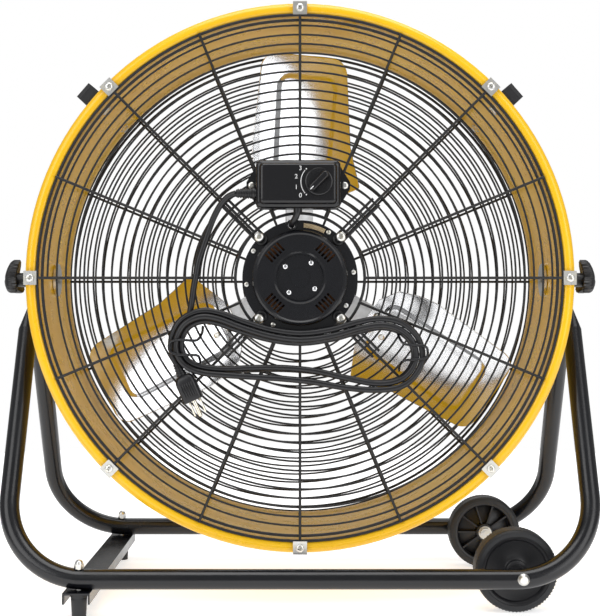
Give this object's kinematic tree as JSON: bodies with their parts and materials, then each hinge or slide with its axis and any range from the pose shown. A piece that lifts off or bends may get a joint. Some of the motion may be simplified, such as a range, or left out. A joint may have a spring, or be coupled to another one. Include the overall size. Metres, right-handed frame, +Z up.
{
  "type": "drum fan",
  "caption": "Barrel-shaped floor fan: a wire-guarded sheet-metal drum that tilts between two bent-tube hoops on rubber feet and wheels, with its power cord wound on the rear guard.",
  "frame": {"origin": "on the floor, under the middle of the stand", "axes": "+X along the tilt axis towards the wheeled end, +Y the way the air leaves, +Z up"},
  "size_m": [0.7216, 0.352, 0.6915],
  "materials": {
    "yellow_paint": "gloss powder coat",
    "black_paint": "gloss powder coat",
    "zinc_plate": "bright zinc",
    "plain_steel": "machined",
    "copper_wire": "enamelled copper",
    "blade_alloy": "mill finish",
    "black_plastic": "satin moulded",
    "cord_rubber": "satin jacket",
    "strap_web": "braid",
    "plug_brass": "bright",
    "wheel_rubber": "matt"
  },
  "bodies": {
    "stand": {"rear_stand_tube": "black_paint", "front_stand_tube": "black_paint", "foot_channel": "black_paint", "rubber_feet": "cord_rubber", "channel_bolts": "zinc_plate", "dome_nuts": "zinc_plate", "wheel_bolts": "zinc_plate", "wheel_spacers": "black_paint", "wheel_nuts": "zinc_plate"},
    "drum": {"drum_shell": "yellow_paint", "rear_guard_frame": "black_paint", "rear_guard_spiral": "black_paint", "front_guard_frame": "black_paint", "front_guard_spiral": "black_paint", "guard_clips": "zinc_plate", "clip_screws": "zinc_plate", "pivot_bosses": "zinc_plate", "motor_ring": "black_paint", "ring_screws": "zinc_plate", "motor_housing": "black_paint", "motor_end_cover": "black_paint", "end_cover_screws": "zinc_plate", "motor_front_cover": "plain_steel", "stator_core": "plain_steel", "windings": "copper_wire", "rear_bearing": "plain_steel", "front_bearing": "plain_steel", "switch_plate": "black_paint", "switch_cover": "black_paint", "switch_screws": "zinc_plate", "rotary_switch": "black_plastic", "capacitor": "plain_steel", "motor_lead": "cord_rubber", "lead_glands": "black_plastic", "earth_strap": "strap_web", "cord_gland": "black_plastic", "cord_hooks": "black_paint", "carry_handles": "black_plastic", "handle_screws": "zinc_plate", "handle_washers": "zinc_plate", "power_cord": "cord_rubber", "cord_hank": "cord_rubber", "plug_body": "cord_rubber", "plug_prongs": "plug_brass"},
    "rotor": {"motor_shaft": "plain_steel", "rotor_core": "plain_steel", "blade_hub": "plain_steel", "hub_nut": "zinc_plate", "blade_1": "blade_alloy", "blade_2": "blade_alloy", "blade_3": "blade_alloy", "blade_rivets": "zinc_plate"},
    "speed_control": {"speed_knob": "black_plastic", "switch_spindle": "plain_steel"},
    "left_clamp": {"left_clamp_knob": "black_plastic", "left_clamp_stud": "zinc_plate"},
    "right_clamp": {"right_clamp_knob": "black_plastic", "right_clamp_stud": "zinc_plate"},
    "rear_wheel_body": {"rear_wheel": "wheel_rubber"},
    "front_wheel_body": {"front_wheel": "wheel_rubber"}
  },
  "joints": [
    {"name": "drum_tilt", "type": "hinge", "parent": "stand", "child": "drum", "pos_m": [0, 0, 0.376], "axis": [1, 0, 0], "range_deg": [-90, 90]},
    {"name": "fan_spin", "type": "hinge", "parent": "drum", "child": "rotor", "pos_m": [0, 0, 0.376], "axis": [0, 1, 0], "continuous": true},
    {"name": "speed_knob_turn", "type": "hinge", "parent": "drum", "child": "speed_control", "pos_m": [0.021, -0.135, 0.4825], "axis": [0, 1, 0], "range_deg": [0, 90]},
    {"name": "left_clamp_turn", "type": "hinge", "parent": "drum", "child": "left_clamp", "pos_m": [-0.34, 0, 0.376], "axis": [-1, 0, 0], "range_deg": [0, 360]},
    {"name": "right_clamp_turn", "type": "hinge", "parent": "drum", "child": "right_clamp", "pos_m": [0.34, 0, 0.376], "axis": [1, 0, 0], "range_deg": [0, 360]},
    {"name": "rear_wheel_spin", "type": "hinge", "parent": "stand", "child": "rear_wheel_body", "pos_m": [0.243, -0.115, 0.0465], "axis": [0, 1, 0], "continuous": true},
    {"name": "front_wheel_spin", "type": "hinge", "parent": "stand", "child": "front_wheel_body", "pos_m": [0.243, 0.115, 0.0465], "axis": [0, 1, 0], "continuous": true}
  ]
}
